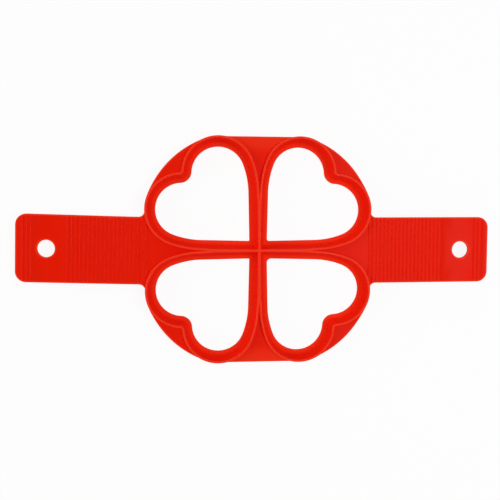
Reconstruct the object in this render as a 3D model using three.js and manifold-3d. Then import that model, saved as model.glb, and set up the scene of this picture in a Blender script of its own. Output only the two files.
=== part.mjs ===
// Egg pancake mould in red silicone: four heart-shaped cups in a clover, joined by a thin web,
// with a ribbed handle on each side. It is moulded in one, and is divided here where its form changes.
// Millimetres, +Z up, +X along the handles, origin under the middle of the clover on the pan.

import * as THREE from 'three';
import { mergeVertices } from 'three/addons/utils/BufferGeometryUtils.js';
import Module from 'manifold-3d';

const wasm = await Module();
wasm.setup();

const degree = Math.PI / 180;
const rightAngle = 90 * degree;
const halfTurn = 180 * degree;

// Whole mould
const overallLength = 380;
const rimHeight = 13;
const webTop = 10.5;
const webThickness = 2.5;
const seam = 0.3;

// Heart-shaped opening, drawn in the quadrant where x and y are positive, with its corner by the middle
const sideTilt = 1.2 * degree;
const flankRadius = 68;
const lobeRadius = 21.4;
const lobeStandOff = 2.8;
const lobeSpread = 20.6;
const cleftRadius = 9.4;
const cornerRadius = 1.8;

// Section of a cup's wall, with reaches measured outwards from the edge of the opening
const rimReach = 7.65;
const rimWidth = 1.5;
const rimRound = 0.4;
const rimCornerRadius = 0.3;
const lipEdge = 1.3;
const lipReach = 2.7;
const lipRise = 0.5;
const filletReach = 1.2;
const filletHeight = 2.2;
const footReach = 4.8;
const edgeRound = 0.3;

// Crossed ridge where neighbouring rims run together: its length from the middle outwards, and how far
// each rim's outer face would run past the middle plane there
const ridgeLength = 36;
const rimOverlap = 0.6;

// Webs between the lobes and in the clefts
const webEdgeInset = 0.3;
const webTipWidth = 0.8;
const bridgeRadius = 76;

// Handles
const handleWidth = 53.4;
const rootFlareRadius = 5;
const flexClearance = 0.3;
const tabLength = 37.8;
const tabCornerRadius = 8.5;
const hangHoleDiameter = 13.6;
const hangHoleInset = 23.3;

// Grip ribs across the handles
const ribPitch = 3.2;
const ribFoot = 1.2;
const ribCrest = 0.5;
const ribHeight = 0.5;
const firstRibInset = 1.4;
const endRibInset = 5.8;
const endRibCount = 3;

// Facets along the round stretches
const cornerSteps = 2;
const flankSteps = 3;
const lobeSteps = 16;
const cleftSteps = 3;
const filletSteps = 3;
const bridgeSteps = 10;
const flareSteps = 5;
const noseSteps = 6;
const tabCornerSteps = 6;
const hangHoleSteps = 32;

const cutOverrun = 4;

// Finish
const siliconeRoughness = 0.45;
const cupRed = 0xe3240f;
const webRed = 0xdf2210;
const handleRed = 0xe12411;

// Places worked out from the sizes above
const webBottom = webTop - webThickness;
const halfLength = overallLength / 2;
const halfHandle = handleWidth / 2;
const flexRadius = webThickness / 2;
const flexHeight = webTop - flexRadius;

const along = new THREE.Vector2(Math.sin(sideTilt), Math.cos(sideTilt));
const inward = new THREE.Vector2(Math.cos(sideTilt), -Math.sin(sideTilt));
const sideInset = rimReach - rimOverlap;
const sideStart = new THREE.Vector2(sideInset, 0);
const sideNear = lobeRadius + lobeStandOff;
const diagonal = new THREE.Vector2(Math.SQRT1_2, Math.SQRT1_2);
const aside = new THREE.Vector2(-Math.SQRT1_2, Math.SQRT1_2);
const lobeRise = (sideNear + sideStart.dot(inward) - lobeSpread * aside.dot(inward)) / diagonal.dot(inward);
const lobeCentre = diagonal.clone().multiplyScalar(lobeRise).addScaledVector(aside, lobeSpread);
const lobeReach = lobeCentre.y;
const lobeAlong = lobeCentre.clone().sub(sideStart).dot(along);
const flankAlong = lobeAlong - Math.sqrt((flankRadius - lobeRadius) ** 2 - (flankRadius - sideNear) ** 2);
const flankCentre = fromSide(flankAlong, flankRadius);
const cleftCentre = onDiagonal(lobeCentre, lobeRadius + cleftRadius, 1);

const rimLobeRadius = lobeRadius + rimReach;
const bodyReach = lobeReach + rimLobeRadius;
const webReach = rimReach + seam;
const webLobeRadius = lobeRadius + webReach;
const webEdge = bodyReach - webEdgeInset;
const bridgeCentre = onDiagonal(lobeCentre, bridgeRadius - rimLobeRadius, -1);

const sideAngle = halfTurn - sideTilt;
const lobeStart = angleOf(flankCentre, lobeCentre);
const lobeEnd = angleOf(lobeCentre, cleftCentre);
const cleftStart = lobeEnd + halfTurn;
const towardsMiddle = halfTurn + rightAngle / 2;

const flareDistance = rimLobeRadius + rootFlareRadius;
const flareAside = halfHandle + rootFlareRadius;
const flareCentre = new THREE.Vector2(
  flareAside,
  lobeReach + Math.sqrt(flareDistance ** 2 - (flareAside - lobeCentre.x) ** 2),
);
const rootEnd = flareCentre.y;
const flexLine = rootEnd + flexClearance + flexRadius;
const tabStart = halfLength - tabLength;
const firstRib = bodyReach - firstRibInset;
const endRib = halfLength - endRibInset;

// A point beside the straight side of the opening
function fromSide(distanceAlong, distanceInward) {
  return sideStart.clone().addScaledVector(along, distanceAlong).addScaledVector(inward, distanceInward);
}

// The point on the quadrant's diagonal at a given distance from another point, beyond it or before it
function onDiagonal(from, distance, side) {
  const middle = (from.x + from.y) / 2;
  const across = (from.x - from.y) / 2;
  const step = side * Math.sqrt(distance ** 2 / 2 - across ** 2);
  return new THREE.Vector2(middle + step, middle + step);
}

function angleOf(from, to) {
  return Math.atan2(to.y - from.y, to.x - from.x);
}

function onCircle(centre, radius, angle) {
  return new THREE.Vector2(centre.x + radius * Math.cos(angle), centre.y + radius * Math.sin(angle));
}

function arc(centre, radius, start, end, steps) {
  const points = [];
  for (let i = 0; i <= steps; i += 1) {
    points.push(onCircle(centre, radius, start + ((end - start) * i) / steps));
  }
  return points;
}

// The angle at the first centre between the line of centres and the point where two circles cross
function crossingAngle(radius, otherRadius, distance) {
  return Math.acos((radius ** 2 + distance ** 2 - otherRadius ** 2) / (2 * radius * distance));
}

function swapped(points) {
  return points.map((p) => new THREE.Vector2(p.y, p.x)).reverse();
}

function mirroredInX(points) {
  return points.map((p) => new THREE.Vector2(-p.x, p.y)).reverse();
}

// One closed outline of a heart at a given reach from the edge of its opening. Every reach gives
// the same stations, and those beside the crossed ridge say so.
function heartStations(reach) {
  const cornerShare = 1 - reach / rimReach;
  const corner = rimCornerRadius + (cornerRadius - rimCornerRadius) * cornerShare;
  const cornerPlace = (sideInset * inward.x + corner - reach) / (inward.x + inward.y);
  const cornerCentre = new THREE.Vector2(cornerPlace, cornerPlace);
  const half = [];
  const add = (points, byRidge) => points.forEach((point) => half.push({ point, byRidge }));
  add(arc(cornerCentre, corner, towardsMiddle, sideAngle, cornerSteps), true);
  add([fromSide(ridgeLength, -reach)], true);
  add(arc(flankCentre, flankRadius + reach, sideAngle, lobeStart, flankSteps), false);
  add(arc(lobeCentre, lobeRadius + reach, lobeStart, lobeEnd, lobeSteps).slice(1), false);
  add(arc(cleftCentre, cleftRadius - reach, cleftStart, towardsMiddle, cleftSteps).slice(1), false);
  const stations = half.map(({ point, byRidge }) => ({ point, byRidge, beyondDiagonal: false }));
  for (let i = half.length - 2; i > 0; i -= 1) {
    const { point, byRidge } = half[i];
    stations.push({ point: new THREE.Vector2(point.y, point.x), byRidge, beyondDiagonal: true });
  }
  return stations;
}

// The stations of one level of a cup's section. Beside the ridge they keep to their own side of the plane
// half way to the neighbouring cup, and the level can lie at another height there or reach that plane.
function sectionLevel({ reach, height, ridgeHeight = height, meetsNeighbour = false }) {
  const ridgeStations = heartStations(Math.min(reach, sideInset));
  return heartStations(reach).map(({ point, byRidge, beyondDiagonal }, i) => {
    const plan = byRidge ? ridgeStations[i].point : point;
    const place = new THREE.Vector3(plan.x, plan.y, byRidge ? ridgeHeight : height);
    if (meetsNeighbour && byRidge) {
      if (!beyondDiagonal) place.x = 0;
      if (beyondDiagonal || i === 0) place.y = 0;
    }
    return place;
  });
}

function cupSection() {
  const wallTop = new THREE.Vector2(rimReach - rimWidth, rimHeight - rimRound);
  const lipEnd = new THREE.Vector2(lipReach, lipEdge + lipRise);
  const wallFoot = new THREE.Vector2(lipReach + filletReach, lipEnd.y + filletHeight);
  const wallSlope = (wallTop.x - wallFoot.x) / (wallTop.y - wallFoot.y);
  const filletCorner = new THREE.Vector2(wallFoot.x - wallSlope * filletHeight, lipEnd.y + lipRise / 2);
  const fillet = new THREE.QuadraticBezierCurve(lipEnd, filletCorner, wallFoot).getPoints(filletSteps);
  const crest = rimReach - rimWidth / 2;
  return [
    { reach: edgeRound, height: 0 },
    { reach: 0, height: edgeRound },
    { reach: 0, height: lipEdge - edgeRound },
    { reach: edgeRound, height: lipEdge },
    ...fillet.map((p) => ({ reach: p.x, height: p.y })),
    { reach: wallTop.x, height: wallTop.y },
    { reach: crest, height: rimHeight },
    { reach: rimReach, height: wallTop.y, ridgeHeight: rimHeight, meetsNeighbour: true },
    { reach: rimReach, height: webBottom + edgeRound, meetsNeighbour: true },
    { reach: sideInset - edgeRound, height: webBottom },
    { reach: footReach, height: edgeRound },
    { reach: footReach - edgeRound, height: 0 },
  ];
}

// A ring-shaped solid through the levels of a section, which close on each other
function ringSolid(levels) {
  const count = levels[0].length;
  const positions = levels.flat().flatMap((p) => p.toArray());
  const index = [];
  for (let level = 0; level < levels.length; level += 1) {
    const above = (level + 1) % levels.length;
    for (let i = 0; i < count; i += 1) {
      const next = (i + 1) % count;
      const a = level * count + i;
      const b = level * count + next;
      const c = above * count + next;
      const d = above * count + i;
      index.push(a, b, c, a, c, d);
    }
  }
  const geometry = new THREE.BufferGeometry();
  geometry.setAttribute('position', new THREE.Float32BufferAttribute(positions, 3));
  geometry.setIndex(index);
  return geometry;
}

function plate(points, bottom, top, hole) {
  const shape = new THREE.Shape(points);
  if (hole) shape.holes.push(new THREE.Path(hole));
  const geometry = new THREE.ExtrudeGeometry(shape, { depth: top - bottom, bevelEnabled: false });
  geometry.translate(0, 0, bottom);
  return joined(geometry);
}

// An outline in X and Z, swept along Y over a given width with the handle's middle line half way
function crossBar(points, width) {
  const shape = new THREE.Shape(points);
  const geometry = new THREE.ExtrudeGeometry(shape, { depth: width, bevelEnabled: false });
  const upright = new THREE.Matrix4().makeBasis(
    new THREE.Vector3(1, 0, 0),
    new THREE.Vector3(0, 0, 1),
    new THREE.Vector3(0, -1, 0),
  );
  geometry.applyMatrix4(upright);
  geometry.translate(0, width / 2, 0);
  return joined(geometry);
}

function joined(geometry) {
  geometry.deleteAttribute('normal');
  geometry.deleteAttribute('uv');
  return mergeVertices(geometry);
}

function toManifold(geometry) {
  const mesh = new wasm.Mesh({
    numProp: 3,
    vertProperties: new Float32Array(geometry.attributes.position.array),
    triVerts: new Uint32Array(geometry.index.array),
  });
  return new wasm.Manifold(mesh);
}

function common(geometryA, geometryB) {
  const mesh = toManifold(geometryA).intersect(toManifold(geometryB)).getMesh();
  const geometry = new THREE.BufferGeometry();
  geometry.setAttribute('position', new THREE.BufferAttribute(new Float32Array(mesh.vertProperties), 3));
  geometry.setIndex(new THREE.BufferAttribute(new Uint32Array(mesh.triVerts), 1));
  return geometry;
}

// A copy in another quadrant, with its faces still turned outwards
function inQuadrant(geometry, sideX, sideY) {
  const copy = geometry.clone();
  copy.scale(sideX, sideY, 1);
  if (sideX * sideY < 0) {
    const corners = copy.index.array;
    for (let i = 0; i < corners.length; i += 3) {
      const swap = corners[i];
      corners[i] = corners[i + 1];
      corners[i + 1] = swap;
    }
  }
  return copy;
}

// Top line of a handle between two stations, with its ribs, in X and Z
function ribbedTop(from, to, ribCentres) {
  const points = [new THREE.Vector2(from, webTop)];
  for (const centre of ribCentres) {
    points.push(new THREE.Vector2(centre - ribFoot / 2, webTop));
    points.push(new THREE.Vector2(centre - ribCrest / 2, webTop + ribHeight));
    points.push(new THREE.Vector2(centre + ribCrest / 2, webTop + ribHeight));
    points.push(new THREE.Vector2(centre + ribFoot / 2, webTop));
  }
  points.push(new THREE.Vector2(to, webTop));
  return points;
}

function ribsBetween(from, to) {
  const centres = [];
  for (let centre = firstRib; centre < tabStart - ribFoot; centre += ribPitch) {
    if (centre - ribFoot / 2 > from && centre + ribFoot / 2 < to) centres.push(centre);
  }
  return centres;
}

// The web's edge along one lobe, from its tip in the slot between two rims to a given angle round the lobe
function lobeEdge(endAngle) {
  const radius = flankRadius + webReach;
  const tipShare = Math.min(1, (flankCentre.x - webTipWidth / 2) / radius);
  const tipAngle = Math.min(sideAngle, halfTurn - Math.acos(tipShare));
  return [
    ...arc(flankCentre, radius, tipAngle, lobeStart, flankSteps),
    ...arc(lobeCentre, webLobeRadius, lobeStart, endAngle, lobeSteps).slice(1),
  ];
}

function heartCup() {
  return ringSolid(cupSection().map(sectionLevel));
}

// Web between two lobes on a side with no handle
function lobeWeb() {
  const endAngle = halfTurn - Math.asin((webEdge - lobeReach) / webLobeRadius);
  const edge = lobeEdge(endAngle);
  return plate([...edge, ...mirroredInX(edge)], webBottom, webTop);
}

// Web in a heart's cleft, bridged by one long arc from lobe to lobe
function cleftWeb() {
  const distance = lobeCentre.distanceTo(bridgeCentre);
  const lobeAngle = angleOf(bridgeCentre, lobeCentre);
  const bridgeEnd = lobeAngle - crossingAngle(bridgeRadius, webLobeRadius, distance);
  const meeting = onCircle(bridgeCentre, bridgeRadius, bridgeEnd);
  const edge = [
    ...arc(lobeCentre, webLobeRadius, angleOf(lobeCentre, meeting), lobeEnd, lobeSteps),
    ...arc(cleftCentre, cleftRadius - webReach, cleftStart, towardsMiddle, cleftSteps).slice(1),
  ];
  const bridge = arc(bridgeCentre, bridgeRadius, rightAngle - bridgeEnd, bridgeEnd, bridgeSteps);
  return plate([...edge, ...swapped(edge).slice(1, -1), ...bridge.slice(0, -1)], webBottom, webTop);
}

// Root of a handle: the web between two lobes, flared where it leaves the clover. Its outline is drawn
// along Y like the lobe web's, and turned to lie along X.
function handleRoot() {
  const crossing = crossingAngle(rootFlareRadius, webLobeRadius, flareDistance);
  const flareStart = angleOf(flareCentre, lobeCentre) - crossing;
  const meeting = onCircle(flareCentre, rootFlareRadius, flareStart);
  const edge = [
    ...lobeEdge(angleOf(lobeCentre, meeting)),
    ...arc(flareCentre, rootFlareRadius, flareStart, -halfTurn, flareSteps).slice(1),
  ];
  const outline = swapped([...edge, ...mirroredInX(edge)]);
  const plan = plate(outline, webBottom - cutOverrun, rimHeight + cutOverrun);
  const inner = edge[0].y;
  const side = [
    ...ribbedTop(inner - cutOverrun, rootEnd + cutOverrun, ribsBetween(inner, rootEnd)),
    new THREE.Vector2(rootEnd + cutOverrun, webBottom),
    new THREE.Vector2(inner - cutOverrun, webBottom),
  ];
  return common(plan, crossBar(side, 2 * flareAside));
}

// Ribbed strap of a handle, with a round nose about the line where it flexes. Its ribs start where they
// clear the root when the handle stands upright.
function handleStrap() {
  const noseCentre = new THREE.Vector2(flexLine, flexHeight);
  const nose = arc(noseCentre, flexRadius, -rightAngle, -halfTurn - rightAngle, noseSteps);
  const firstCrest = flexLine + flexRadius;
  const ribs = ribsBetween(firstCrest - (ribFoot - ribCrest) / 2, tabStart);
  const top = ribbedTop(flexLine, tabStart, ribs).slice(1);
  return crossBar([...nose, ...top, new THREE.Vector2(tabStart, webBottom)], handleWidth);
}

// Plain tab at a handle's end, with its hanging hole and three ribs
function hangingTab() {
  const cornerPlace = new THREE.Vector2(halfLength - tabCornerRadius, halfHandle - tabCornerRadius);
  const corner = arc(cornerPlace, tabCornerRadius, rightAngle, 0, tabCornerSteps);
  const upper = [new THREE.Vector2(tabStart, halfHandle), ...corner];
  const lower = upper.map((p) => new THREE.Vector2(p.x, -p.y)).reverse();
  const holeCentre = new THREE.Vector2(halfLength - hangHoleInset, 0);
  const hole = arc(holeCentre, hangHoleDiameter / 2, 0, 2 * halfTurn, hangHoleSteps).slice(1);
  const plan = plate([...upper, ...lower], webBottom - cutOverrun, rimHeight + cutOverrun, hole);
  const ribCentres = [];
  for (let i = endRibCount - 1; i >= 0; i -= 1) ribCentres.push(endRib - i * ribPitch);
  const side = [
    ...ribbedTop(tabStart, halfLength + cutOverrun, ribCentres),
    new THREE.Vector2(halfLength + cutOverrun, webBottom),
    new THREE.Vector2(tabStart, webBottom),
  ];
  return common(plan, crossBar(side, handleWidth + 2 * cutOverrun));
}

function silicone(color) {
  return new THREE.MeshStandardMaterial({ color, roughness: siliconeRoughness, metalness: 0 });
}

const mould = new THREE.Group();

function addPiece(name, geometry, color) {
  const mesh = new THREE.Mesh(geometry, silicone(color));
  mesh.name = name;
  mould.add(mesh);
}

const cup = heartCup();
const cleft = cleftWeb();
const sidesX = [['left', -1], ['right', 1]];
const sidesY = [['front', -1], ['back', 1]];
for (const [nameY, sideY] of sidesY) {
  for (const [nameX, sideX] of sidesX) {
    addPiece(`heart_cup_${nameY}_${nameX}`, inQuadrant(cup, sideX, sideY), cupRed);
    addPiece(`cleft_web_${nameY}_${nameX}`, inQuadrant(cleft, sideX, sideY), webRed);
  }
}

const web = lobeWeb();
for (const [nameY, sideY] of sidesY) addPiece(`lobe_web_${nameY}`, inQuadrant(web, 1, sideY), webRed);

const root = handleRoot();
const strap = handleStrap();
const tab = hangingTab();
for (const [nameX, sideX] of sidesX) {
  addPiece(`handle_root_${nameX}`, inQuadrant(root, sideX, 1), webRed);
  addPiece(`handle_strap_${nameX}`, inQuadrant(strap, sideX, 1), handleRed);
  addPiece(`hanging_tab_${nameX}`, inQuadrant(tab, sideX, 1), handleRed);
}

export default mould;
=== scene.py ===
"""Egg pancake mould in red silicone: four heart-shaped cups in a clover, and a ribbed handle on each side.

The moulding's surface is drawn here from the same sizes as the part, in its frame and in metres, with its
rounded rims and edges, fillets, parting bead and ribs. Cups and webs are drawn at the back or back right,
and handles along +Y, and then mirrored or turned to their own sides.
"""

import math

import bpy
import numpy as np
from mathutils import Matrix, Vector
from mathutils.geometry import delaunay_2d_cdt


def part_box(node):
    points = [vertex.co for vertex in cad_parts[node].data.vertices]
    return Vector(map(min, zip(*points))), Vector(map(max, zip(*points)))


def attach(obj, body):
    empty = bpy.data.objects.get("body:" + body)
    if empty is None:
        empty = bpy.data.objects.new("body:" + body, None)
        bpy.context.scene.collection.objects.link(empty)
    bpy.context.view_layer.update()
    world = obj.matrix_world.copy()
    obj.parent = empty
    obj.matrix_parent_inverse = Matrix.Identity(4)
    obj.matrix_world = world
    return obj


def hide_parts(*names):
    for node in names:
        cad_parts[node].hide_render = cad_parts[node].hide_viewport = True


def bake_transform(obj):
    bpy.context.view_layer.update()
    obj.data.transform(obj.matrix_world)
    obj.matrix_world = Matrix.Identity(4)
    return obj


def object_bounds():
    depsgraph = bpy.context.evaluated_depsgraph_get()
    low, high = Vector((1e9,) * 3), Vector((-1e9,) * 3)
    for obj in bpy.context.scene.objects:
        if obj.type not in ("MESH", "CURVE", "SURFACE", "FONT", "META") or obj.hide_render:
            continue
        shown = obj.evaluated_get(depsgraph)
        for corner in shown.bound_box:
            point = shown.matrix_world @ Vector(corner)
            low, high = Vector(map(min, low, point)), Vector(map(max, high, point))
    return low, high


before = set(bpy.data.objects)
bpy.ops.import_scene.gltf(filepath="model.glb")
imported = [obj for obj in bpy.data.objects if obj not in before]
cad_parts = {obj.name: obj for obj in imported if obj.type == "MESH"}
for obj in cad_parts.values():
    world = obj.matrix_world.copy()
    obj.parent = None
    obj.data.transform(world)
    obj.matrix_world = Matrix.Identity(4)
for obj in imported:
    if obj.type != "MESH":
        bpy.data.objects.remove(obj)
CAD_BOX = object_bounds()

MM = 0.001
RIGHT_ANGLE = math.pi / 2
WHITE = (1, 1, 1, 1)
SIDES_X = (("left", -1), ("right", 1))
SIDES_Y = (("front", -1), ("back", 1))
# Point attributes: the tone that paints light and shade into the colour, and how matte the surface is
SHADE_AND_GLOSS_LAYERS = ("light_and_shade", "matte")

# The triangulation's kind of output that covers the whole hull of its points
ALL_TRIANGLES = 0

# Sizes read from the frame
OVERALL_LENGTH = CAD_BOX[1].x - CAD_BOX[0].x
RIM_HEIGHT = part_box("heart_cup_back_right")[1].z
WEB_BOTTOM, WEB_TOP = (corner.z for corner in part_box("lobe_web_back"))
WEB_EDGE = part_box("lobe_web_back")[1].y
HALF_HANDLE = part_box("handle_strap_right")[1].y
TAB_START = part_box("hanging_tab_right")[0].x

# Heart-shaped opening, in the quadrant where x and y are positive, and each cup's corner by the middle
SIDE_TILT = math.radians(1.2)
FLANK_RADIUS = 68 * MM
LOBE_RADIUS = 21.4 * MM
LOBE_STAND_OFF = 2.8 * MM
LOBE_SPREAD = 20.6 * MM
CLEFT_RADIUS = 9.4 * MM
OPENING_CORNERS = {
    "back_left": 0.8 * MM,
    "front_left": 0.8 * MM,
    "back_right": 1.8 * MM,
    "front_right": 3.4 * MM,
}

# Section of a cup's wall, with reaches measured outwards from the edge of the opening
RIM_REACH = 7.65 * MM
RIM_WIDTH = 1.5 * MM
RIM_ROUND = 0.4 * MM
RIM_CORNER = 0.3 * MM
LIP_HEIGHT = 1.25 * MM
LIP_ROUND = 0.4 * MM
WALL_FOOT = (3.5 * MM, 1.95 * MM)
WALL_FILLET = 2.0 * MM
FOOT_REACH = 4.8 * MM
FOOT_ROUND = 0.3 * MM
UNDER_REACH = 6.75 * MM
BAND_ROUND = 0.6 * MM

# Crossed ridge where neighbouring rims run together, narrowed by a pinch so that its width stays even, and
# the slot that opens between the rims past its end
RIDGE_LENGTH = 36 * MM
RIM_OVERLAP = 0.6 * MM
RIDGE_PINCH = 0.45 * MM
RIDGE_PINCH_FULL = 20 * MM
CREST_PINCH_SHARE = 0.65
SLOT_TOP_DROP = 0.15 * MM
SLOT_RAMP_START = 40 * MM
SLOT_RAMP_END = 60 * MM

# Webs: how far they run on inside the cups' outer faces, their fillets and their free edges
WEB_TUCK = 0.2 * MM
WEB_FILLET = 0.8 * MM
EDGE_ROUND = 0.35 * MM
BRIDGE_RADIUS = 76 * MM
PARTING_BEAD = 0.07 * MM
PARTING_HALF_WIDTH = 0.12 * MM

# Handles
ROOT_FLARE = 5 * MM
TAB_CORNER = 8.5 * MM
HANG_HOLE_RADIUS = 6.8 * MM
HANG_HOLE_INSET = 23.3 * MM
RIB_PITCH = 3.2 * MM
RIB_FOOT = 1.2 * MM
RIB_HEIGHT = 0.5 * MM
FIRST_RIB_INSET = 1.4 * MM
END_RIB_INSET = 5.8 * MM
END_RIB_COUNT = 3
RIB_END_FADE = 0.8 * MM
LEAN_SPAN = 15 * MM
LEANS = {"left": math.radians(1.6), "right": math.radians(0.3)}

# Tones of the silicone's red, which paint light and shade into its colour: from 0, painted deep shade, over
# 0.5, plain, to 1, painted light and highlight, and the painted light that is added towards the free edge of
# a lobe web
# Painted highlight on the rims' crests, along the free edges and by the ridge's end
PAINTED_LIGHT_TONE = 1.0
# Painted light on the cups' lips
LIP_LIGHT_TONE = 0.85
PLAIN_TONE = 0.5
# Painted shade on the undersides and outer faces
UNDERSIDE_SHADE_TONE = 0.4
# Painted shade up the cups' walls
WALL_SHADE_TONE = 0.38
# Painted shade in the valleys past the ridges' ends
VALLEY_SHADE_TONE = 0.1
# Painted light added towards a lobe web's free edge
PAINTED_EDGE_LIGHT = 0.22

# Where the painted light and shade change: up a cup's wall and at its crest, along the valleys, and by the
# free edges
LIP_FLAT = 1.4 * MM
WALL_DARK = 5.2 * MM
CREST_DEPTH = 0.7 * MM
CREST_SOFTNESS = 0.3 * MM
SLOT_LIGHT_END = 40 * MM
SLOT_DARK = 50 * MM
SLOT_DARK_END = 61 * MM
SLOT_PLAIN = 84 * MM
EDGE_RISE = 28 * MM
# Width of the painted highlight line along the free edges
EDGE_HIGHLIGHT_LINE = 1.6 * MM

# Reds for the painted deep shade, the plain tone and the painted light, satin and matte, at their places on
# a ramp, where the middle of the clouding is added to the deep and the plain tone
CLOUDING = 0.1
RED_STOPS = (CLOUDING / 2, PLAIN_TONE + CLOUDING / 2, 1.0)
SATIN_REDS = ((0.77, 0.0045, 0.0, 1), (0.78, 0.0095, 0.0, 1), (0.90, 0.0360, 0.0085, 1))
MATTE_REDS = ((0.84, 0.0045, 0.0, 1), (0.84, 0.0095, 0.0, 1), (0.86, 0.0360, 0.0085, 1))

# Gloss: the cups' walls are matte, from a span of reaches on, and the webs, lips and crests satin
SILICONE_IOR = 1.41
SPECULAR_LEVEL = 0.06
SATIN = 0.32
GLOSS_UNEVENNESS = 0.08
MATTE_EXTRA = 0.45
MATTE_SPAN = (0.5 * MM, 2.2 * MM)

# Noises over the surface, each by its scale and detail, and the moulded grain
CLOUD_NOISE = (35, 3)
GLOSS_NOISE = (90, 4)
GRAIN_NOISE = (1800, 2)
GRAIN_HEIGHT = 0.05 * MM
GRAIN_STRENGTH = 0.12

# Fineness of the surface
CORNER_STEPS = 8
RIDGE_STEPS = 16
SLOT_STEPS = 6
SLOT_RUN_STEPS = 10
SLOT_FLOOR_STEPS = 24
FLANK_STEPS = 20
LOBE_STEPS = 72
CLEFT_STEPS = 12
ROUND_STEPS = 4
WALL_STEPS = 8
HOLE_STEPS = 72
BRIDGE_STEPS = 60
EDGE_RISE_STEPS = 7
SHARP_ANGLE = math.radians(50)
WELD = 0.002 * MM
SMALL = 0.05 * MM


def arc(centre, radius, start, end, steps):
    angles = np.linspace(start, end, steps + 1)
    return np.array(centre) + radius * np.stack([np.cos(angles), np.sin(angles)], 1)


def angle_of(origin, place):
    return math.atan2(place[1] - origin[1], place[0] - origin[0])


def distance(points, centre):
    return np.hypot(points[..., 0] - centre[0], points[..., 1] - centre[1])


def on_diagonal(place, gap, side):
    """The point on the diagonal at a gap from a place, beyond it or before it."""
    middle, across = (place[0] + place[1]) / 2, (place[0] - place[1]) / 2
    step = side * math.sqrt(gap**2 / 2 - across**2)
    return np.array([middle + step, middle + step])


def quarter(radius, gap):
    """How far a quarter-round edge or fillet departs from its flat, at a gap from where it ends."""
    inside = np.clip(radius - gap, 0, radius)
    return radius - np.sqrt(radius**2 - inside**2)


def quarter_gaps(radius):
    """Gaps that divide a quarter round into equal turns."""
    turns = np.linspace(0, RIGHT_ANGLE, ROUND_STEPS + 1)
    return list(radius * (1 - np.cos(turns)))


def smooth(share):
    """A share from 0 to 1, eased at both ends."""
    share = np.clip(share, 0, 1)
    return share * share * (3 - 2 * share)


# Places worked out from the sizes above

ALONG = np.array([math.sin(SIDE_TILT), math.cos(SIDE_TILT)])
INWARD = np.array([math.cos(SIDE_TILT), -math.sin(SIDE_TILT)])
DIAGONAL = np.array([math.sqrt(0.5), math.sqrt(0.5)])
ASIDE = np.array([-math.sqrt(0.5), math.sqrt(0.5)])
SIDE_INSET = RIM_REACH - RIM_OVERLAP
SIDE_START = np.array([SIDE_INSET, 0])
SIDE_NEAR = LOBE_RADIUS + LOBE_STAND_OFF
LOBE_RISE = (SIDE_NEAR + SIDE_START @ INWARD - LOBE_SPREAD * (ASIDE @ INWARD)) / (DIAGONAL @ INWARD)
LOBE_CENTRE = DIAGONAL * LOBE_RISE + ASIDE * LOBE_SPREAD
FLANK_ALONG = (LOBE_CENTRE - SIDE_START) @ ALONG - math.sqrt(
    (FLANK_RADIUS - LOBE_RADIUS) ** 2 - (FLANK_RADIUS - SIDE_NEAR) ** 2
)
FLANK_CENTRE = SIDE_START + ALONG * FLANK_ALONG + INWARD * FLANK_RADIUS
CLEFT_CENTRE = on_diagonal(LOBE_CENTRE, LOBE_RADIUS + CLEFT_RADIUS, 1)
SIDE_ANGLE = math.pi - SIDE_TILT
LOBE_START = angle_of(FLANK_CENTRE, LOBE_CENTRE)
LOBE_END = angle_of(LOBE_CENTRE, CLEFT_CENTRE)
TOWARDS_MIDDLE = math.pi + RIGHT_ANGLE / 2

RIM_LOBE_RADIUS = LOBE_RADIUS + RIM_REACH
CREST_REACH = RIM_REACH - RIM_WIDTH / 2
HIDDEN_REACH = UNDER_REACH - WEB_TUCK
PARTING = (WEB_TOP + WEB_BOTTOM) / 2
EDGE_LEVELS = (
    (PARTING + PARTING_HALF_WIDTH, 0),
    (PARTING, PARTING_BEAD),
    (PARTING - PARTING_HALF_WIDTH, 0),
)
SLOT_HALF_WIDTH = RIDGE_LENGTH * math.tan(SIDE_TILT) - RIM_OVERLAP

HALF_LENGTH = OVERALL_LENGTH / 2
FLARE_ASIDE = HALF_HANDLE + ROOT_FLARE
FLARE_RISE = math.sqrt((RIM_LOBE_RADIUS + ROOT_FLARE) ** 2 - (FLARE_ASIDE - LOBE_CENTRE[0]) ** 2)
FLARE_CENTRE = np.array([FLARE_ASIDE, LOBE_CENTRE[1] + FLARE_RISE])
FLARE_ANGLE = angle_of(LOBE_CENTRE, FLARE_CENTRE)
TAB_CORNER_PLACE = np.array([HALF_HANDLE - TAB_CORNER, HALF_LENGTH - TAB_CORNER])
HOLE_PLACE = np.array([0, HALF_LENGTH - HANG_HOLE_INSET])
BRIDGE_CENTRE = on_diagonal(LOBE_CENTRE, BRIDGE_RADIUS - RIM_LOBE_RADIUS, -1)
FIRST_RIB = LOBE_CENTRE[1] + RIM_LOBE_RADIUS - FIRST_RIB_INSET
RIBS = list(np.arange(FIRST_RIB, TAB_START - RIB_FOOT, RIB_PITCH))
RIBS += [HALF_LENGTH - END_RIB_INSET - i * RIB_PITCH for i in range(END_RIB_COUNT)]


# Heart outlines


def slot_turns():
    """Turns round the slot's start."""
    return np.linspace(0, RIGHT_ANGLE, SLOT_STEPS + 1)


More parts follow.
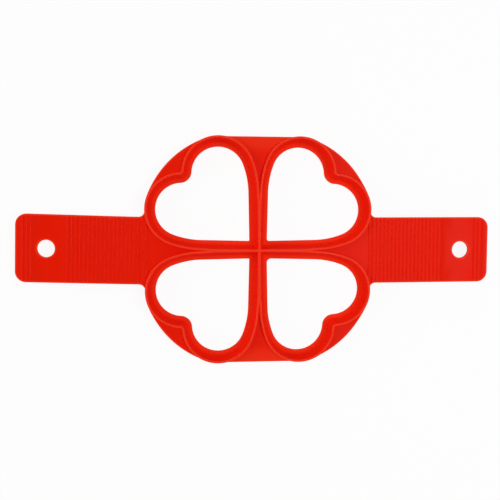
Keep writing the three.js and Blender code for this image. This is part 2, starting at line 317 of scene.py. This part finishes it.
def heart_half(reach, corner_radius=OPENING_CORNERS["back_right"]):
    """Half of a heart's outline at a reach from its opening, from the corner by the middle to the cleft."""
    share = 1 - reach / RIM_REACH
    corner = max(RIM_CORNER + (corner_radius - RIM_CORNER) * share, RIM_CORNER / 2)
    place = (SIDE_INSET * INWARD[0] + corner - reach) / (INWARD[0] + INWARD[1])
    turn = arc((place, place), corner, TOWARDS_MIDDLE, SIDE_ANGLE, CORNER_STEPS)
    begin = (turn[-1] - SIDE_START) @ ALONG
    ridge = np.linspace(begin, RIDGE_LENGTH, RIDGE_STEPS + 1)[1:]
    slot = RIDGE_LENGTH + SLOT_HALF_WIDTH * (1 - np.cos(slot_turns()[1:]))
    run = np.linspace(slot[-1], FLANK_ALONG, SLOT_RUN_STEPS + 1)[1:-1]
    side = SIDE_START + np.outer(np.concatenate([ridge, slot, run]), ALONG) - INWARD * reach
    flank = arc(FLANK_CENTRE, FLANK_RADIUS + reach, SIDE_ANGLE, LOBE_START, FLANK_STEPS)
    lobe = arc(LOBE_CENTRE, LOBE_RADIUS + reach, LOBE_START, LOBE_END, LOBE_STEPS)[1:]
    cleft = arc(CLEFT_CENTRE, CLEFT_RADIUS - reach, LOBE_END + math.pi, TOWARDS_MIDDLE, CLEFT_STEPS)[1:]
    return np.concatenate([turn, side, flank, lobe, cleft])


# Counts of a half outline's points up to the ends of the ridge, of the slot's start and of the straight side
RIDGE_STATIONS = CORNER_STEPS + 1 + RIDGE_STEPS
SLOT_STATIONS = RIDGE_STATIONS + SLOT_STEPS
RUN_STATIONS = SLOT_STATIONS + SLOT_RUN_STEPS - 1


def reach_at(points):
    """How far points lie outside the edge of the nearest opening."""
    folded = np.sort(np.abs(points), axis=1)
    from_side = folded - SIDE_START
    from_lobe = folded - LOBE_CENTRE
    to_cleft = CLEFT_CENTRE - LOBE_CENTRE
    to_lobe = LOBE_CENTRE - FLANK_CENTRE
    from_flank = folded - FLANK_CENTRE
    beyond_flank = to_lobe[0] * from_flank[:, 1] - to_lobe[1] * from_flank[:, 0] < 0
    below_cleft = to_cleft[0] * from_lobe[:, 1] - to_cleft[1] * from_lobe[:, 0] < 0
    reach = distance(folded, LOBE_CENTRE) - LOBE_RADIUS
    cleft = CLEFT_RADIUS - distance(folded, CLEFT_CENTRE)
    flank = distance(folded, FLANK_CENTRE) - FLANK_RADIUS
    reach = np.where(below_cleft & beyond_flank, cleft, reach)
    reach = np.where(beyond_flank, reach, flank)
    return np.where(from_side @ ALONG < FLANK_ALONG, -from_side @ INWARD, reach)


def crest_tone(height):
    """How far a height lies in the rims' crest, which gets the painted highlight and the satin gloss, from 0
    to 1.
    """
    return smooth((height - RIM_HEIGHT + CREST_DEPTH) / CREST_SOFTNESS)


def cup_tone(reach, height):
    """Tone at a reach and height of a cup's section: painted light on the lip, a painted highlight on the
    crest, and painted shade on the wall between them.
    """
    up = np.clip((reach - LIP_FLAT) / (WALL_DARK - LIP_FLAT), 0, 1)
    wall = LIP_LIGHT_TONE + (WALL_SHADE_TONE - LIP_LIGHT_TONE) * up
    return wall + (PAINTED_LIGHT_TONE - wall) * crest_tone(height)


def cup_matte(reach, height):
    """How matte a cup's section is at a reach and height, from 0 on its lip and crest to 1 on its wall."""
    begin, full = MATTE_SPAN
    return smooth((reach - begin) / (full - begin)) * (1 - crest_tone(height))


def web_tone(points):
    """Tone of a web over its plan: painted light by the ridge's end, painted shade in the valley past it,
    and then plain.
    """
    along = np.max(np.abs(points), axis=1)
    aside = np.min(np.abs(points), axis=1)
    rise = np.clip((along - SLOT_DARK_END) / (SLOT_PLAIN - SLOT_DARK_END), 0, 1)

    # The cleft webs lie outside the valleys, so they get no painted valley shade and are plain all over
    rise[aside > LOBE_CENTRE[0] + SMALL] = 1
    out = VALLEY_SHADE_TONE + (PLAIN_TONE - VALLEY_SHADE_TONE) * rise
    light = PAINTED_LIGHT_TONE * (1 - smooth((along - SLOT_LIGHT_END) / (SLOT_DARK - SLOT_LIGHT_END)))
    return np.maximum(out, light)


# Cups


def rounded(corners):
    """A polyline in reach and height, with an arc of its own radius at each corner between the ends."""
    points = [np.array(corners[0][:2])]
    for before, here, after in zip(corners, corners[1:], corners[2:]):
        spot, radius = np.array(here[:2]), here[2]
        back = np.array(before[:2]) - spot
        ahead = np.array(after[:2]) - spot
        back, ahead = back / np.linalg.norm(back), ahead / np.linalg.norm(ahead)
        half = math.acos(back @ ahead) / 2
        run = radius / math.tan(half)
        bisector = (back + ahead) / np.linalg.norm(back + ahead)
        centre = spot + bisector * radius / math.sin(half)
        start, end = angle_of(centre, spot + back * run), angle_of(centre, spot + ahead * run)
        turn = (end - start + math.pi) % (2 * math.pi) - math.pi
        points.append(spot + back * (run + SMALL))
        points.extend(arc(centre, radius, start, start + turn, ROUND_STEPS))
        points.append(spot + ahead * (run + SMALL))
    points.append(np.array(corners[-1][:2]))
    return np.array(points)


def under_line(height):
    """Reach of the outer face of a cup's wall below the web."""
    return FOOT_REACH + (UNDER_REACH - FOOT_REACH) * height / WEB_BOTTOM


def inner_section():
    """Section of a cup from the crest of its rim, down the wall, round the lip and up the outer face."""
    wall_run = (RIM_REACH - RIM_WIDTH - WALL_FOOT[0]) / (RIM_HEIGHT - RIM_ROUND - WALL_FOOT[1])
    rim_inside = WALL_FOOT[0] + wall_run * (RIM_HEIGHT - WALL_FOOT[1])
    band_start = WEB_BOTTOM - BAND_ROUND
    section = rounded([
        (CREST_REACH, RIM_HEIGHT),
        (rim_inside, RIM_HEIGHT, RIM_ROUND),
        (*WALL_FOOT, WALL_FILLET),
        (0, LIP_HEIGHT, LIP_ROUND),
        (0, 0, FOOT_ROUND),
        (FOOT_REACH, 0, FOOT_ROUND),
        (under_line(band_start), band_start),
    ])

    # The wall's flat runs from the last point of the rim's inner round to the first of its foot's fillet
    wall_top = ROUND_STEPS + 3
    wall = np.linspace(section[wall_top], section[wall_top + 1], WALL_STEPS + 1)[1:-1]
    return np.insert(section, wall_top + 1, wall, axis=0)


def ridge_pinch(line):
    """How far a rim's inner edge is drawn towards the ridge, at each point of a heart's half outline."""
    along = (line - SIDE_START) @ ALONG
    along[RUN_STATIONS:] = FLANK_ALONG
    fade = 1 - smooth((along - RIDGE_LENGTH) / (FLANK_ALONG - RIDGE_LENGTH))
    return RIDGE_PINCH * np.clip(along / RIDGE_PINCH_FULL, 0, 1) * fade


def pinch_shares(section):
    """Share of that pinch at each point of the section: none below the wall's foot, and all at its top."""
    on_wall = np.cumsum(section[:, 0] < WALL_FOOT[0]) == 0
    shares = on_wall * (section[:, 1] - WALL_FOOT[1]) / (RIM_HEIGHT - WALL_FOOT[1])
    shares[0] = CREST_PINCH_SHARE
    return shares


def full_turn(half):
    """A whole heart from its half, mirrored over the diagonal."""
    mirrored = half[-2:0:-1].copy()
    mirrored[:, :2] = mirrored[:, 1::-1]
    return np.concatenate([half, mirrored])


def bend(start, knee, end, share):
    """The place at a share of a smooth bend from a start to an end, with its knee in between."""
    return (1 - share) ** 2 * start + 2 * share * (1 - share) * knee + share**2 * end


def outer_rows(corner_radius, crest, under, under_height):
    """Rows of points up a cup's outer face: from under the web, past the parting bead, and round the rim."""
    line = heart_half(RIM_REACH, corner_radius)
    bead = heart_half(RIM_REACH + PARTING_BEAD, corner_radius)
    middle = heart_half(SIDE_INSET, corner_radius) * [0, 1]
    middle[0] = 0

    # Beside the ridge the outer face lies half way to the next cup, and past it, on the rim's own outline
    free = np.ones(len(line))
    free[:RIDGE_STATIONS] = 0
    free[RIDGE_STATIONS:SLOT_STATIONS] = np.sin(slot_turns()[1:])
    outer = middle + (line - middle) * free[:, None]
    beaded = np.where(free[:, None] < 1, outer, bead)
    outer_top = RIM_HEIGHT - RIM_ROUND * free
    outer_bottom = WEB_BOTTOM + BAND_ROUND * free
    knee = heart_half(UNDER_REACH + SMALL, corner_radius)
    knee = knee + (outer - knee) * free[:, None]

    rows = []
    for share in np.linspace(0, 1, ROUND_STEPS + 2)[1:]:
        height = bend(under_height, WEB_BOTTOM, outer_bottom, share)
        rows.append((bend(under, knee, outer, share), height))
    rows += [
        (outer, PARTING - PARTING_HALF_WIDTH - SMALL),
        (outer, PARTING - PARTING_HALF_WIDTH),
        (beaded, PARTING),
        (outer, PARTING + PARTING_HALF_WIDTH),
        (outer, PARTING + PARTING_HALF_WIDTH + SMALL),
        (outer, WEB_TOP + WEB_FILLET),
    ]
    for turn in np.linspace(0, RIGHT_ANGLE, ROUND_STEPS + 1)[:-1]:
        plan = crest + (outer - crest) * math.cos(turn)
        rows.append((plan, outer_top + (RIM_HEIGHT - outer_top) * math.sin(turn)))
    return rows


def cup_rows(corner_radius, section):
    """Closed rows of points round a cup, from its crest down the inside and up the outside."""
    pinch = np.outer(ridge_pinch(heart_half(RIM_REACH, corner_radius)), INWARD)
    rows = [
        (heart_half(reach, corner_radius) - share * pinch, height)
        for (reach, height), share in zip(section, pinch_shares(section))
    ]
    rows += outer_rows(corner_radius, rows[0][0], *rows[-1])
    full = []
    for plan, height in rows:
        heights = np.broadcast_to(height, len(plan))
        full.append(full_turn(np.column_stack([plan, heights])))
    return np.array(full)


def cup_shade_and_gloss(rows, section):
    """Painted light and shade tone, and matte, at each point of a cup: its section's down to the lip, and
    past it the painted shade of the underside and outer face, with the crest's painted highlight.
    """
    tones = UNDERSIDE_SHADE_TONE + (PAINTED_LIGHT_TONE - UNDERSIDE_SHADE_TONE) * crest_tone(rows[:, :, 2])
    shade_and_gloss = np.stack([tones, np.zeros(tones.shape)], axis=2)
    inside_count = np.argmax(section[:, 1] < LIP_HEIGHT / 2)
    for row, (reach, height) in enumerate(section[:inside_count]):
        shade_and_gloss[row] = cup_tone(reach, height), cup_matte(reach, height)
    return shade_and_gloss.reshape(-1, 2)


def ring_faces(row_count, point_count):
    """Faces that join each closed row of points to the next one, and the last row to the first."""
    faces = []
    for row in range(row_count):
        here, above = row * point_count, (row + 1) % row_count * point_count
        for i in range(point_count):
            ahead = (i + 1) % point_count
            faces.append((here + i, above + i, above + ahead, here + ahead))
    return faces


def cup_solid(corner_radius):
    """A heart-shaped cup, drawn at the back right."""
    section = inner_section()
    rows = cup_rows(corner_radius, section)
    faces = ring_faces(*rows.shape[:2])
    return rows.reshape(-1, 3), faces, cup_shade_and_gloss(rows, section)


# Webs and handles


def ribs_at(along):
    """Height of the grip ribs at places along a handle."""
    height = np.zeros(len(along))
    for rib in RIBS:
        offset = np.clip((along - rib) / (RIB_FOOT / 2), -1, 1)
        height += RIB_HEIGHT * (1 + np.cos(math.pi * offset)) / 2
    return height


def top_height(points, edge, ribs=0.0):
    """Height of a web's top: level but for its fillets, ribs, rounded edge and ramp up to the ridge."""
    ramp = smooth((SLOT_RAMP_END - points[:, 1]) / (SLOT_RAMP_END - SLOT_RAMP_START))
    lift = ramp * (RIM_HEIGHT - SLOT_TOP_DROP - WEB_TOP)
    fillet = (1 - ramp) * quarter(WEB_FILLET, reach_at(points) - RIM_REACH)
    return WEB_TOP + lift + fillet + ribs * smooth(edge / RIB_END_FADE) - quarter(EDGE_ROUND, edge)


def bottom_height(points, edge):
    """Height of a web's underside: level but for its fillets and rounded edge."""
    fillet = quarter(WEB_FILLET, reach_at(points) - HIDDEN_REACH)
    return WEB_BOTTOM - fillet + quarter(EDGE_ROUND, edge)


def mirrored_x(points):
    """A line of points mirrored to the other side of the Y axis, run the other way."""
    return (points * [-1, 1])[::-1]


def reach_lines(end_angle):
    """Lines beside a cup's wall that carry the fillets above and below, up to an angle round the lobe."""
    under = [HIDDEN_REACH + gap for gap in quarter_gaps(WEB_FILLET)[1:]]
    over = [RIM_REACH + gap for gap in quarter_gaps(WEB_FILLET)]
    lines = []
    for reach in sorted(under + over + [over[-1] + SMALL]):
        half = heart_half(reach)[CORNER_STEPS + RIDGE_STEPS:]
        angles = np.arctan2(half[:, 1] - LOBE_CENTRE[1], half[:, 0] - LOBE_CENTRE[0])
        lines.append(half[(half[:, 0] > 0) & ((angles > end_angle) | (angles < -RIGHT_ANGLE))])
    return lines


def hidden_side(end_angle):
    """The web's hidden edge inside a cup's rim, from under the ridge's end round the lobe to an angle."""
    first = SIDE_START + ALONG * (RIDGE_LENGTH - WEB_FILLET) - INWARD * HIDDEN_REACH
    flank = arc(FLANK_CENTRE, FLANK_RADIUS + HIDDEN_REACH, SIDE_ANGLE, LOBE_START, FLANK_STEPS)
    lobe = arc(LOBE_CENTRE, LOBE_RADIUS + HIDDEN_REACH, LOBE_START, end_angle, LOBE_STEPS)[1:]
    return np.concatenate([[first], flank, lobe])


def triangulated(loops, lines):
    """Triangles over a plan bounded by loops, an outer one first and then holes, with each line kept."""
    points, edges, faces = [], [], []
    for loop in loops:
        faces.append(list(range(len(points), len(points) + len(loop))))
        points.extend(Vector(p) for p in loop)
    for line in lines:
        start = len(points)
        points.extend(Vector(p) for p in line)
        edges.extend((start + i, start + i + 1) for i in range(len(line) - 1))
    places, _, triangles, _, _, owners = delaunay_2d_cdt(points, edges, faces, ALL_TRIANGLES, WELD, True)

    # A triangle of the plan lies in the outer loop, which is loop 0, and in no hole
    kept = [tri for tri, own in zip(triangles, owners) if list(own) == [0]]
    used = sorted({i for tri in kept for i in tri})
    fresh = {old: new for new, old in enumerate(used)}
    plan = np.array([places[i] for i in used], float)
    return plan, [tuple(fresh[i] for i in tri) for tri in kept]


def border(plan, triangles):
    """Directed edges round the plan with the inside on the left, and each border point's way outwards."""
    directed = {(tri[i], tri[(i + 1) % 3]) for tri in triangles for i in range(3)}
    edges = [(a, b) for a, b in directed if (b, a) not in directed]
    outwards = np.zeros((len(plan), 2))
    for a, b in edges:
        run = plan[b] - plan[a]
        aside = np.array([run[1], -run[0]]) / max(np.linalg.norm(run), WELD)
        outwards[a] += aside
        outwards[b] += aside
    lengths = np.maximum(np.hypot(outwards[:, 0], outwards[:, 1]), WELD)
    return sorted(edges), outwards / lengths[:, None]


def sheet_tones(plan, edge, painted_edge_light):
    """Painted light and shade tones of a moulding's top and underside over its plan, each with a painted
    highlight line along the free edge.
    """
    line = np.clip((EDGE_HIGHLIGHT_LINE - edge) / (EDGE_HIGHLIGHT_LINE - EDGE_ROUND), 0, 1)
    top = web_tone(plan) + painted_edge_light * smooth(1 - edge / EDGE_RISE)
    return top + (PAINTED_LIGHT_TONE - top) * line, UNDERSIDE_SHADE_TONE + (PAINTED_LIGHT_TONE - UNDERSIDE_SHADE_TONE) * line


def sheet_faces(triangles, edges, rim, count):
    """Faces of a moulding: its top, its underside, and its side in steps from one level to the next."""
    faces = list(triangles) + [tuple(count + i for i in tri[::-1]) for tri in triangles]
    columns = {}
    for order, i in enumerate(rim):
        side = [2 * count + level * len(rim) + order for level in range(len(EDGE_LEVELS))]
        columns[i] = [i, *side, count + i]
    for a, b in edges:
        for upper in range(len(EDGE_LEVELS) + 1):
            lower = upper + 1
            faces.append((columns[a][upper], columns[a][lower], columns[b][lower], columns[b][upper]))
    return faces


def sheet_solid(loops, lines, edge_distance, ribbed=False, painted_edge_light=0.0):
    """A closed moulding over a plan, with filleted joints, rounded free edges and a parting bead."""
    plan, triangles = triangulated(loops, lines)
    edge = edge_distance(plan)
    ribs = ribs_at(plan[:, 1]) if ribbed else 0.0
    top = np.column_stack([plan, top_height(plan, edge, ribs)])
    bottom = np.column_stack([plan, bottom_height(plan, edge)])
    edges, outwards = border(plan, triangles)
    rim = sorted({a for a, b in edges})
    points = [top, bottom]
    for height, bead in EDGE_LEVELS:
        shift = outwards[rim] * (bead * (edge[rim] < WELD))[:, None]
        points.append(np.column_stack([plan[rim] + shift, np.full(len(rim), height)]))
    above, under = sheet_tones(plan, edge, painted_edge_light)
    tones = np.concatenate([above, under, *[under[rim]] * len(EDGE_LEVELS)])
    shade_and_gloss = np.column_stack([tones, np.zeros(len(tones))])
    return np.concatenate(points), sheet_faces(triangles, edges, rim, len(plan)), shade_and_gloss


def edge_gaps():
    """Gaps from a free edge that its rounding and its painted highlight line need."""
    return quarter_gaps(EDGE_ROUND)[1:] + [EDGE_ROUND + SMALL, EDGE_HIGHLIGHT_LINE]


def slot_line():
    """The valley's floor from the ridge's end outwards."""
    floor = np.linspace(RIDGE_LENGTH - WEB_FILLET, SLOT_RAMP_END, SLOT_FLOOR_STEPS + 1)
    return np.column_stack([np.zeros(len(floor)), floor])


def lobe_web_solid():
    """Web between two lobes, with a straight outer edge, drawn at the back."""
    side = np.concatenate([hidden_side(RIGHT_ANGLE), [[LOBE_CENTRE[0], WEB_EDGE]]])
    outline = np.concatenate([mirrored_x(side), side])
    lines = reach_lines(RIGHT_ANGLE)
    lines += [mirrored_x(line) for line in lines] + [slot_line()]
    for gap in edge_gaps() + list(np.linspace(0, EDGE_RISE, EDGE_RISE_STEPS + 1)[1:]):
        lines.append(np.array([[-LOBE_CENTRE[0], WEB_EDGE - gap], [LOBE_CENTRE[0], WEB_EDGE - gap]]))
    return sheet_solid([outline], lines, lambda plan: WEB_EDGE - plan[:, 1], painted_edge_light=PAINTED_EDGE_LIGHT)


def cleft_web_solid():
    """Web in a heart's cleft, bridged by one long arc from lobe to lobe, drawn at the back right."""
    touch = angle_of(BRIDGE_CENTRE, LOBE_CENTRE)
    lobe = arc(LOBE_CENTRE, LOBE_RADIUS + HIDDEN_REACH, touch, LOBE_END, LOBE_STEPS)
    cleft = arc(CLEFT_CENTRE, CLEFT_RADIUS - HIDDEN_REACH, LOBE_END + math.pi, TOWARDS_MIDDLE, CLEFT_STEPS)
    half = np.concatenate([lobe, cleft[1:]])
    inner = np.concatenate([half, half[-2::-1, ::-1]])
    bridge = arc(BRIDGE_CENTRE, BRIDGE_RADIUS, RIGHT_ANGLE - touch, touch, BRIDGE_STEPS)
    outline = np.concatenate([inner, bridge])
    lines = []
    for line in reach_lines(-RIGHT_ANGLE):
        past = line[line[:, 0] > LOBE_CENTRE[0] - LOBE_RADIUS]
        lines += [past, past[::-1, ::-1]]
    for gap in edge_gaps():
        lines.append(arc(BRIDGE_CENTRE, BRIDGE_RADIUS - gap, RIGHT_ANGLE - touch, touch, BRIDGE_STEPS))
    return sheet_solid([outline], lines, lambda plan: BRIDGE_RADIUS - distance(plan, BRIDGE_CENTRE))


def handle_edge(plan):
    """Distance of points on a handle from its nearest free edge."""
    folded = np.abs(plan)
    flare = distance(folded, FLARE_CENTRE) - ROOT_FLARE
    sides = np.minimum(HALF_HANDLE - folded[:, 0], HALF_LENGTH - folded[:, 1])
    corner = TAB_CORNER - distance(folded, TAB_CORNER_PLACE)
    in_corner = np.all(folded > TAB_CORNER_PLACE, axis=1)
    edge = np.where(folded[:, 1] < FLARE_CENTRE[1], flare, np.where(in_corner, corner, sides))
    return np.minimum(edge, distance(plan, HOLE_PLACE) - HANG_HOLE_RADIUS)


def handle_side(gap):
    """A handle's free edge on one side, moved inwards by a gap: flare, long side, and corner at the end."""
    start = FLARE_ANGLE - math.pi
    flare = arc(FLARE_CENTRE, ROOT_FLARE + gap, start, -math.pi, FLANK_STEPS)
    corner = arc(TAB_CORNER_PLACE, TAB_CORNER - gap, 0, RIGHT_ANGLE, FLANK_STEPS)
    return np.concatenate([flare, corner])


def handle_solid():
    """A whole handle, from the ridge's end between two lobes to the tab's end."""
    side = np.concatenate([hidden_side(FLARE_ANGLE), handle_side(0)])
    outline = np.concatenate([side, mirrored_x(side)])
    hole = arc(HOLE_PLACE, HANG_HOLE_RADIUS, 0, 2 * math.pi, HOLE_STEPS)[:-1]
    lines = reach_lines(FLARE_ANGLE)
    lines += [mirrored_x(line) for line in lines] + [slot_line()]
    for gap in edge_gaps() + [RIB_END_FADE]:
        edge = handle_side(gap)
        lines.append(np.concatenate([edge, mirrored_x(edge)]))
        lines.append(arc(HOLE_PLACE, HANG_HOLE_RADIUS + gap, 0, 2 * math.pi, HOLE_STEPS))
    half_rib = RIB_FOOT / 2
    for rib in RIBS:
        for along in np.linspace(rib - half_rib, rib + half_rib, 2 * ROUND_STEPS + 1):
            lines.append(np.array([[-FLARE_ASIDE, along], [FLARE_ASIDE, along]]))
    return sheet_solid([outline, hole], lines, handle_edge, ribbed=True)


# Pieces


def piece(name, solid, nodes, material):
    """A named mesh that stands for CAD nodes, smooth but for true corners, with its painted light and shade
    tone and its matte at each point.
    """
    points, faces, shade_and_gloss = solid
    mesh = bpy.data.meshes.new(name)
    mesh.from_pydata([tuple(p) for p in points], [], faces)
    for i, layer in enumerate(SHADE_AND_GLOSS_LAYERS):
        attribute = mesh.attributes.new(layer, "FLOAT", "POINT")
        attribute.data.foreach_set("value", shade_and_gloss[:, i].astype(np.float32))
    mesh.validate()
    mesh.shade_smooth()
    mesh.set_sharp_from_angle(angle=SHARP_ANGLE)
    made = bpy.data.objects.new(name, mesh)
    bpy.context.scene.collection.objects.link(made)
    made.data.materials.append(material)
    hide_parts(*nodes)
    return made


def placed(solid, matrix):
    """A solid's points turned or mirrored in plan, with its faces still outwards."""
    points, faces, shade_and_gloss = solid
    matrix = np.array(matrix)
    moved = points.copy()
    moved[:, :2] = points[:, :2] @ matrix.T
    if np.linalg.det(matrix) < 0:
        faces = [face[::-1] for face in faces]
    return moved, faces, shade_and_gloss


def computed(tree, operation, *values):
    """A math node's result, from plain numbers or the results of other nodes."""
    node = tree.nodes.new("ShaderNodeMath")
    node.operation = operation
    for socket, value in zip(node.inputs, values):
        if isinstance(value, bpy.types.NodeSocket):
            tree.links.new(value, socket)
        else:
            socket.default_value = value
    return node.outputs[0]


def silicone():
    """Red silicone: its painted light and shade and its gloss follow the form, with faint clouding and a
    fine moulded grain.
    """
    material = bpy.data.materials.new("moulded_silicone")
    material.use_nodes = True
    tree = material.node_tree
    shader = tree.nodes["Principled BSDF"]
    shader.inputs["IOR"].default_value = SILICONE_IOR
    shader.inputs["Specular IOR Level"].default_value = SPECULAR_LEVEL
    place = tree.nodes.new("ShaderNodeTexCoord").outputs["Object"]

    def noise(scale, detail):
        node = tree.nodes.new("ShaderNodeTexNoise")
        node.inputs["Scale"].default_value = scale
        node.inputs["Detail"].default_value = detail
        tree.links.new(place, node.inputs["Vector"])
        return node.outputs["Fac"]

    def ramp(source, reds):
        node = tree.nodes.new("ShaderNodeValToRGB")
        for stop in RED_STOPS[1:-1]:
            node.color_ramp.elements.new(stop)
        for element, stop, red in zip(node.color_ramp.elements, RED_STOPS, reds):
            element.position = stop
            element.color = red
        tree.links.new(source, node.inputs["Fac"])
        return node.outputs["Color"]

    def attribute(name):
        node = tree.nodes.new("ShaderNodeAttribute")
        node.attribute_name = name
        return node.outputs["Fac"]

    # The tone attribute paints light and shade into the base colour
    light_and_shade, matte = (attribute(layer) for layer in SHADE_AND_GLOSS_LAYERS)
    clouded = computed(tree, "MULTIPLY_ADD", noise(*CLOUD_NOISE), CLOUDING, light_and_shade)
    mix = tree.nodes.new("ShaderNodeMixRGB")
    tree.links.new(matte, mix.inputs["Fac"])
    tree.links.new(ramp(clouded, SATIN_REDS), mix.inputs["Color1"])
    tree.links.new(ramp(clouded, MATTE_REDS), mix.inputs["Color2"])
    tree.links.new(mix.outputs["Color"], shader.inputs["Base Color"])
    even = computed(tree, "MULTIPLY_ADD", matte, MATTE_EXTRA, SATIN)
    rough = computed(tree, "MULTIPLY_ADD", noise(*GLOSS_NOISE), GLOSS_UNEVENNESS, even)
    tree.links.new(rough, shader.inputs["Roughness"])
    bump = tree.nodes.new("ShaderNodeBump")
    bump.inputs["Strength"].default_value = GRAIN_STRENGTH
    bump.inputs["Distance"].default_value = GRAIN_HEIGHT
    tree.links.new(noise(*GRAIN_NOISE), bump.inputs["Height"])
    tree.links.new(bump.outputs["Normal"], shader.inputs["Normal"])
    return material


def make_cups(material):
    for name_y, side_y in SIDES_Y:
        for name_x, side_x in SIDES_X:
            node = f"heart_cup_{name_y}_{name_x}"
            cup = cup_solid(OPENING_CORNERS[f"{name_y}_{name_x}"])
            made = placed(cup, [[side_x, 0], [0, side_y]])
            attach(piece(f"{node}_moulding", made, [node], material), "clover")


def make_webs(material):
    lobe_web = lobe_web_solid()
    cleft_web = cleft_web_solid()
    for name_y, side_y in SIDES_Y:
        node = f"lobe_web_{name_y}"
        made = placed(lobe_web, [[1, 0], [0, side_y]])
        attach(piece(f"{node}_moulding", made, [node], material), "clover")
        for name_x, side_x in SIDES_X:
            node = f"cleft_web_{name_y}_{name_x}"
            made = placed(cleft_web, [[side_x, 0], [0, side_y]])
            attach(piece(f"{node}_moulding", made, [node], material), "clover")


def leaned(points, lean):
    """A handle's points bent to the back in their own plane, from its root outwards."""
    run = np.maximum(np.abs(points[:, 0]) - WEB_EDGE, 0)
    turn = lean * np.minimum(run / LEAN_SPAN, 1)
    shift = lean * np.where(run < LEAN_SPAN, run**2 / (2 * LEAN_SPAN), run - LEAN_SPAN / 2)
    bent = points.copy()
    bent[:, 0] -= np.sign(points[:, 0]) * points[:, 1] * turn
    bent[:, 1] += shift
    return bent


def make_handles(material):
    solid = handle_solid()
    for name, side in SIDES_X:
        points, faces, shade_and_gloss = placed(solid, [[0, side], [1, 0]])
        nodes = [f"handle_root_{name}", f"handle_strap_{name}", f"hanging_tab_{name}"]
        bent = (leaned(points, LEANS[name]), faces, shade_and_gloss)
        handle = piece(f"handle_{name}_moulding", bent, nodes, material)
        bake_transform(handle)


# Studio: the floor, the camera at the photo's viewpoint, the world's light, and the lamps, each with its
# name, place, size and radiance

FLOOR_SIZE = 6.0
FLOOR_DROP = 0.05 * MM
FLOOR_COLOR = (0.9, 0.9, 0.9, 1)
FLOOR_ROUGHNESS = 0.9
FLOOR_GLOW = 0.9
CAMERA_PLACE = Vector((-46.0, 30.5, 468.1)) * MM
CAMERA_TILT = [math.radians(angle) for angle in (3.762, 4.807, -0.177)]
CAMERA_LENS = 41.4
CAMERA_SENSOR = 36.0
CAMERA_NEAR = 10 * MM
WORLD_GLOW = 1.0
WORLD_LIGHT = 0.36
LAMPS = (
    ("key", (0.36, 0.0, 0.9), (0.75, 0.6), 2.35),
    ("gleam", (0.6, -0.05, 0.9), (0.24, 0.4), 4.8),
    ("left", (-1.1, 0.15, 0.4), (0.5, 0.5), 6.6),
    ("back", (0.0, 1.1, 0.4), (0.5, 0.5), 2.2),
    ("front", (0.0, -1.1, 0.4), (0.5, 0.5), 2.2),
)


def make_camera():
    data = bpy.data.cameras.new("camera")
    data.sensor_width = CAMERA_SENSOR
    data.lens = CAMERA_LENS
    data.clip_start = CAMERA_NEAR
    camera = bpy.data.objects.new("camera", data)
    bpy.context.scene.collection.objects.link(camera)
    turn = Matrix.Identity(3)
    for axis, angle in zip("XYZ", CAMERA_TILT):
        turn = turn @ Matrix.Rotation(angle, 3, axis)
    camera.matrix_world = Matrix.Translation(CAMERA_PLACE) @ turn.transposed().to_4x4()
    bpy.context.scene.camera = camera


def seen_white(tree, shader, share):
    """Mixes a share of plain white into a shader where it is seen directly, in a mirror or through glass."""
    path = tree.nodes.new("ShaderNodeLightPath")
    seen = path.outputs["Is Camera Ray"]
    for name in ("Is Glossy Ray", "Is Transmission Ray"):
        seen = computed(tree, "MAXIMUM", seen, path.outputs[name])
    part = computed(tree, "MULTIPLY", seen, share)
    glow = tree.nodes.new("ShaderNodeEmission")
    glow.inputs["Color"].default_value = WHITE
    glow.inputs["Strength"].default_value = 1.0
    mix = tree.nodes.new("ShaderNodeMixShader")
    tree.links.new(part, mix.inputs["Fac"])
    tree.links.new(shader, mix.inputs[1])
    tree.links.new(glow.outputs[0], mix.inputs[2])
    return mix.outputs[0]


def make_floor():
    bpy.ops.mesh.primitive_plane_add(size=FLOOR_SIZE, location=(0, 0, -FLOOR_DROP))
    floor = bpy.context.object
    floor.name = "floor"
    material = bpy.data.materials.new("pale_floor")
    material.use_nodes = True
    tree = material.node_tree
    shader = tree.nodes["Principled BSDF"]
    shader.inputs["Base Color"].default_value = FLOOR_COLOR
    shader.inputs["Roughness"].default_value = FLOOR_ROUGHNESS
    shown = seen_white(tree, shader.outputs[0], FLOOR_GLOW)
    tree.links.new(shown, tree.nodes["Material Output"].inputs["Surface"])
    floor.data.materials.append(material)


def make_world():
    world = bpy.data.worlds.new("studio")
    bpy.context.scene.world = world
    world.use_nodes = True
    tree = world.node_tree
    light = tree.nodes["Background"]
    light.inputs["Color"].default_value = WHITE
    light.inputs["Strength"].default_value = WORLD_LIGHT
    shown = seen_white(tree, light.outputs[0], WORLD_GLOW)
    tree.links.new(shown, tree.nodes["World Output"].inputs["Surface"])


def make_lamp(name, place, size, radiance):
    """A rectangular lamp that faces the middle of the object, its power worked out from its radiance."""
    data = bpy.data.lights.new(name, "AREA")
    data.shape = "RECTANGLE"
    data.size, data.size_y = size
    data.energy = radiance * math.pi * size[0] * size[1]
    lamp = bpy.data.objects.new(name, data)
    bpy.context.scene.collection.objects.link(lamp)
    lamp.location = place
    lamp.rotation_mode = "QUATERNION"
    lamp.rotation_quaternion = (-Vector(place)).to_track_quat("-Z", "Y")


bpy.context.scene.view_settings.view_transform = "Standard"
make_camera()
red = silicone()
make_cups(red)
make_webs(red)
make_handles(red)
make_floor()
make_world()
for lamp in LAMPS:
    make_lamp(*lamp)
